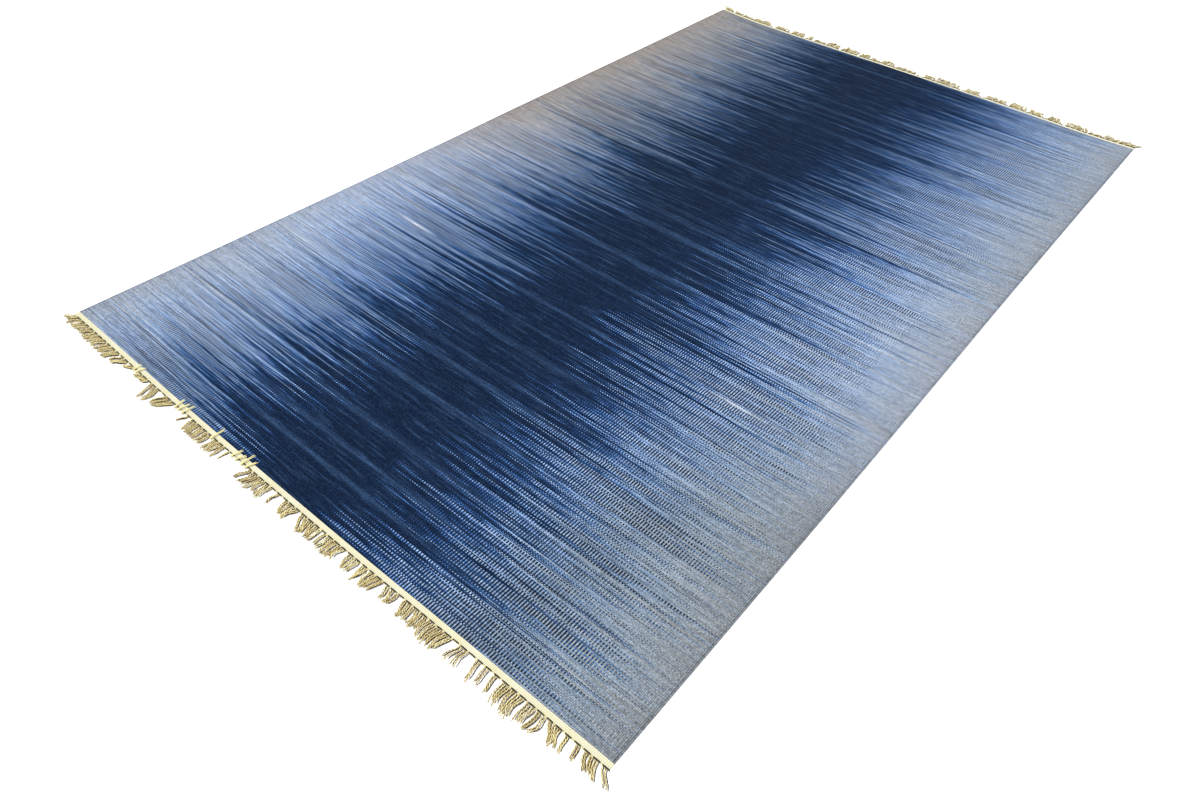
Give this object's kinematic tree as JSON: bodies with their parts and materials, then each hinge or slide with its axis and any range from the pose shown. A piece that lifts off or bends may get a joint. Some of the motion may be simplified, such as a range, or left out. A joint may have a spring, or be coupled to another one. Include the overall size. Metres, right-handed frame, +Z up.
{
  "type": "flat-woven dhurrie rug with fringed ends",
  "caption": "Flat rectangular dhurrie lying flat: a ribbed weave shaded from a dark middle to pale sides, cream headings and short uneven warp fringes.",
  "frame": {"origin": "centre of the rug on the floor, under the underside of the field", "axes": "+X across the rug, +Y along its warp from the near end to the far end, +Z up out of the floor"},
  "size_m": [1.8451, 3.1006, 0.0072],
  "materials": {
    "field_weave": "matt wool weft, space-dyed from navy to pale grey-blue",
    "heading_weave": "matt cream cotton",
    "fringe_yarn": "matt undyed plied cotton"
  },
  "bodies": {
    "root": {"field": "field_weave", "near_heading": "heading_weave", "far_heading": "heading_weave", "near_fringe": "fringe_yarn", "far_fringe": "fringe_yarn"}
  },
  "joints": []
}
